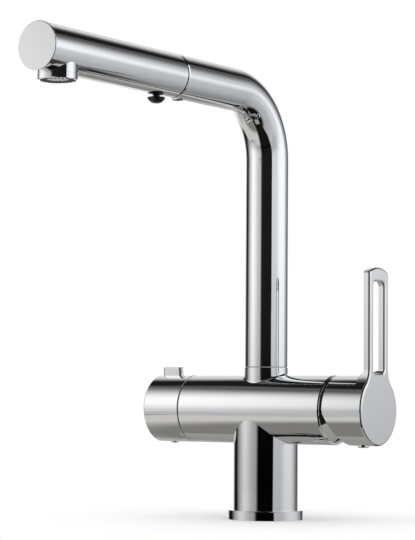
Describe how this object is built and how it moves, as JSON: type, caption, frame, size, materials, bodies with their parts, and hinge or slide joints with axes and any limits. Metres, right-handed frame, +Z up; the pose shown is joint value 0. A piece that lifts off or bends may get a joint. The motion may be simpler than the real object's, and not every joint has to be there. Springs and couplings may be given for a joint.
{
  "type": "kitchen mixer tap",
  "caption": "Chrome kitchen mixer tap: high L-shaped swivel spout with a pull-out spray, slotted side lever for flow and warmth, and a shut-off knob on a cross barrel.",
  "frame": {"origin": "on the deck, on the axis of the column, at the foot of the flange's hole", "axes": "+Z up along the column; -Y the way the spout points; +X towards the lever"},
  "size_m": [0.1798, 0.2742, 0.3079],
  "materials": {
    "chrome": "polished",
    "black_plastic": "satin",
    "grey_plastic": "matt",
    "rubber": "matt",
    "nozzle_rubber": "matt",
    "brass": "turned",
    "steel": "plain",
    "disc_ceramic": "lapped",
    "hose_braid": "woven nylon"
  },
  "bodies": {
    "body": {"body_casting": "chrome", "pedestal": "chrome", "base_flange": "chrome", "base_gasket": "rubber", "hose_guide": "grey_plastic", "cartridge_base": "grey_plastic", "cartridge_seals": "rubber", "cartridge_housing": "grey_plastic", "fixed_disc": "disc_ceramic", "cartridge_nut": "brass", "cartridge_cover": "chrome", "valve_headwork": "brass", "valve_seal": "rubber", "valve_fixed_disc": "disc_ceramic", "spindle_seal": "rubber", "spout_spigot": "brass", "lower_bush": "grey_plastic", "upper_bush": "grey_plastic", "spout_seals": "rubber", "snap_ring": "steel"},
    "spout": {"spout_tube": "chrome", "spout_inner_collar": "brass", "docking_sleeve": "black_plastic", "dock_screw": "chrome", "spray_hose": "hose_braid", "hose_coupling": "brass"},
    "spray_head": {"spray_shell": "chrome", "end_cap": "chrome", "spray_tail": "black_plastic", "spray_waterway": "grey_plastic", "hose_nut": "brass", "hose_washer": "rubber", "check_valve": "grey_plastic", "nozzle_collar": "chrome", "nozzle_ring": "chrome", "spray_face": "nozzle_rubber", "aerator_insert": "grey_plastic", "button_spring": "steel"},
    "button": {"spray_button": "black_plastic", "diverter_plunger": "grey_plastic"},
    "turret": {"cartridge_turret": "grey_plastic", "pivot_pin": "steel"},
    "mixing_disc": {"mixing_disc": "disc_ceramic", "disc_carrier": "grey_plastic"},
    "lever": {"lever_handle": "chrome", "lever_stem": "steel", "lever_grub_screw": "steel", "lever_plug": "chrome"},
    "knob": {"shutoff_knob": "chrome", "valve_spindle": "brass", "valve_moving_disc": "disc_ceramic", "knob_grub_screw": "steel", "knob_plug": "chrome"}
  },
  "joints": [
    {"name": "spout_swivel", "type": "hinge", "parent": "body", "child": "spout", "pos_m": [0, 0, 0], "axis": [0, 0, 1], "range_deg": [-60, 60]},
    {"name": "spray_pull_out", "type": "slide", "parent": "spout", "child": "spray_head", "axis": [0, -1, 0], "range_m": [0, 0.4], "deforming": ["spray_hose"]},
    {"name": "spray_button_press", "type": "slide", "parent": "spray_head", "child": "button", "axis": [0, 0, 1], "range_m": [0, 0.001], "stiffness_N_per_m": 800, "springref_m": -0.001, "deforming": ["button_spring"]},
    {"name": "lever_temperature", "type": "hinge", "parent": "body", "child": "turret", "pos_m": [0.045, 0, 0.0755], "axis": [1, 0, 0], "range_deg": [-45, 45]},
    {"name": "lever_tilt", "type": "hinge", "parent": "turret", "child": "lever", "pos_m": [0.045, 0, 0.0755], "axis": [0, 1, 0], "range_deg": [0, 25]},
    {"name": "mixing_disc_slide", "type": "slide", "parent": "turret", "child": "mixing_disc", "axis": [0, 0, 1], "range_m": [0, 0.004]},
    {"name": "shutoff_turn", "type": "hinge", "parent": "body", "child": "knob", "pos_m": [0, 0, 0.0755], "axis": [1, 0, 0], "range_deg": [0, 90]}
  ],
  "couplings": [
    {"joint": "mixing_disc_slide", "follows": "lever_tilt", "m_per_rad": 0.009}
  ]
}
